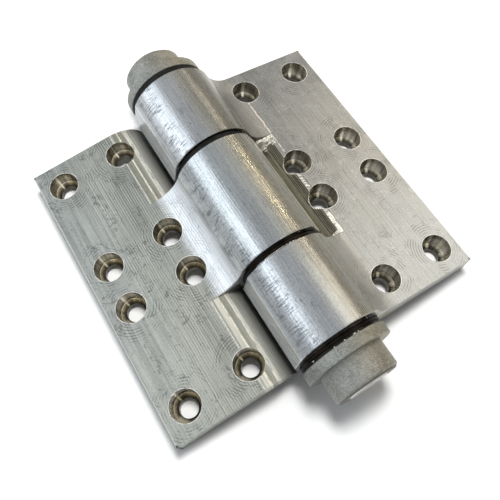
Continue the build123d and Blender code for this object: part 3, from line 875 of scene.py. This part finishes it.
def edge_glint_burrs(y, radius, angles, reach):
    """Slivers round the barrel: lens-shaped humps on a circle of this radius, at these angles from the top.

    Each angle comes with half the angle that its sliver spans; reach is about half its width along y.
    """
    grids = []
    turns = np.linspace(0, 2 * math.pi, 8, endpoint=False)
    for angle, half in angles:
        along, turn = np.meshgrid(np.linspace(-1, 1, 25), turns, indexing="ij")
        fat = reach * np.sqrt(np.maximum(1 - along ** 2, 1e-6)) * (1 + 0.25 * np.sin(7 * along + angle))
        spin = np.radians(angle + half * along)
        far = radius + 0.55 * fat * np.cos(turn)
        x, z = far * np.sin(spin), PIN_HEIGHT + far * np.cos(spin)
        points = np.stack([x, y + fat * np.sin(turn), z], axis=-1)
        grids.append(tiled(points * MM, around=True))
    return grids


# Burrs in pale cut steel at the knuckles' and flange's edges, standing in for glints; the second ring sits
# inside the near bearing gap as a broken bright line, a painted highlight on the washer's edge.
near_glint_burrs = edge_glint_burrs(-INNER_END - 0.1, BARREL_RADIUS - 0.23,
                        ((-30.5, 1.0), (-14.0, 1.2), (3.5, 1.2), (8.0, 0.8)), 0.18)
near_glint_burrs += edge_glint_burrs(0.5 - INNER_END, 20.75,
                         ((-27.0, 4.5), (-16.5, 5.2), (-6.5, 4.2), (0.5, 2.4)), 0.15)
make_piece("near_knuckle_edge_glint_burrs", near_glint_burrs, "end_knuckle_side", cut_white)
middle_glint_burrs = edge_glint_burrs(0.2 - KNUCKLE_SPLIT, BARREL_RADIUS - 0.2, ((-2.0, 1.2), (1.5, 0.8)), 0.20)
make_piece("middle_knuckle_edge_glint_burrs", middle_glint_burrs, "middle_knuckle_side",
           cut_white)
flange_glint_burrs = edge_glint_burrs(0.15 - FLANGE_START, FLANGE_RADIUS - 0.4,
                          ((-22.0, 0.7), (-8.0, 0.9), (6.0, 1.8), (11.5, 0.9)), 0.27)
make_piece("near_flange_edge_glint_burrs", flange_glint_burrs, "middle_knuckle_side", cut_white)

# Floor: a wide matt white sheet that glows very faintly to the camera and in reflections
half = 6.0
floor_mesh = bpy.data.meshes.new("floor")
floor_mesh.from_pydata([(-half, -half, 0), (half, -half, 0), (half, half, 0), (-half, half, 0)], [],
                       [(0, 1, 2, 3)])
floor = bpy.data.objects.new("floor", floor_mesh)
bpy.context.collection.objects.link(floor)
f = Finish("floor_white")
paths = f.node("ShaderNodeLightPath")
seen = f.math("MAXIMUM", paths.outputs["Is Camera Ray"], paths.outputs["Is Glossy Ray"])
seen = f.math("MAXIMUM", seen, paths.outputs["Is Transmission Ray"])
f.finish((0.90, 0.90, 0.90), 0.9, None, metallic=0.0)
f.shader.inputs["Specular IOR Level"].default_value = 0.0
f.shader.inputs["Emission Color"].default_value = (1.0, 1.0, 1.0, 1.0)
f.join(f.math("MULTIPLY", seen, 0.01), f.shader.inputs["Emission Strength"])
floor_mesh.materials.append(f.material)

# World: white to the camera, near white and duller low on the right in reflections, grey as light
world = bpy.data.worlds.new("studio")
bpy.context.scene.world = world
world.use_nodes = True
sky = world.node_tree
sky.nodes.clear()


def sky_node(kind, **settings):
    made = sky.nodes.new(kind)
    for key, value in settings.items():
        setattr(made, key, value)
    return made


def sky_mix(share, a, b):
    made = sky_node("ShaderNodeMix", data_type="RGBA")
    sky.links.new(share, made.inputs[0])
    for socket, value in ((made.inputs[6], a), (made.inputs[7], b)):
        if isinstance(value, tuple):
            socket.default_value = (*value, 1.0)
        else:
            sky.links.new(value, socket)
    return made.outputs[2]


direction = sky_node("ShaderNodeSeparateXYZ")
sky.links.new(sky_node("ShaderNodeTexCoord").outputs["Generated"], direction.inputs[0])
toward_right = sky_node("ShaderNodeMapRange", interpolation_type="SMOOTHSTEP")
sky.links.new(direction.outputs[0], toward_right.inputs["Value"])
toward_right.inputs["From Min"].default_value = 0.52
toward_right.inputs["From Max"].default_value = 0.84
path = sky_node("ShaderNodeLightPath")
reflected = sky_mix(toward_right.outputs[0], (0.97, 0.99, 1.0), (0.48, 0.455, 0.40))
lit = sky_mix(path.outputs["Is Glossy Ray"], (0.17, 0.173, 0.177), reflected)
shown = sky_mix(path.outputs["Is Camera Ray"], lit, (1.0, 1.0, 1.0))
back = sky_node("ShaderNodeBackground")
sky.links.new(shown, back.inputs["Color"])
sky.links.new(back.outputs[0], sky_node("ShaderNodeOutputWorld").inputs["Surface"])


def softbox(name, place, size, level, colour, aim=(0, 0, 0.02)):
    """Rectangular lamp at place, turned to aim, in metres; its power is level times pi times its area."""
    lamp = bpy.data.lights.new(name, "AREA")
    lamp.shape = "RECTANGLE"
    lamp.size, lamp.size_y = size
    lamp.energy = level * math.pi * size[0] * size[1]
    lamp.color = colour
    made = bpy.data.objects.new(name, lamp)
    bpy.context.collection.objects.link(made)
    made.location = place
    made.rotation_euler = (Vector(aim) - Vector(place)).to_track_quat("-Z", "Y").to_euler()
    return made


softbox("window_left", (-0.52, 0.27, 0.38), (0.62, 0.36), 1.95, (0.86, 0.94, 1.0))
softbox("sheen_right", (0.50, 0.0, 0.62), (0.26, 0.44), 1.75, (1.0, 0.985, 0.95))
softbox("strip_right", (0.42, 0.22, 0.335), (0.50, 0.018), 6.0, (1.0, 0.94, 0.86), (0, 0.22, 0.02))
for name, y in (("strip_glow_far", 0.226), ("strip_glow_near", 0.171)):
    softbox(name, (0.41, y, 0.328), (0.020, 0.018), 40.0, (1.0, 0.78, 0.44), (0, y, 0.02))
key = softbox("overhead", (0.10, 0.15, 0.98), (0.26, 0.26), 45.0, (1.0, 1.0, 0.99))
key.visible_glossy = False

# Camera at the photo's place: where it stands, how it is turned, and its lens
camera_data = bpy.data.cameras.new("camera")
camera_data.lens = 44.687
camera_data.sensor_width = 36.0
camera_data.shift_x = -0.012
camera_data.shift_y = -0.100
camera = bpy.data.objects.new("camera", camera_data)
camera.location = (-0.072322, -0.112535, 0.294262)
camera.rotation_euler = tuple(math.radians(a) for a in (27.04022, -1.24152, -32.05966))
bpy.context.collection.objects.link(camera)
bpy.context.scene.camera = camera
bpy.context.scene.view_settings.view_transform = "Standard"
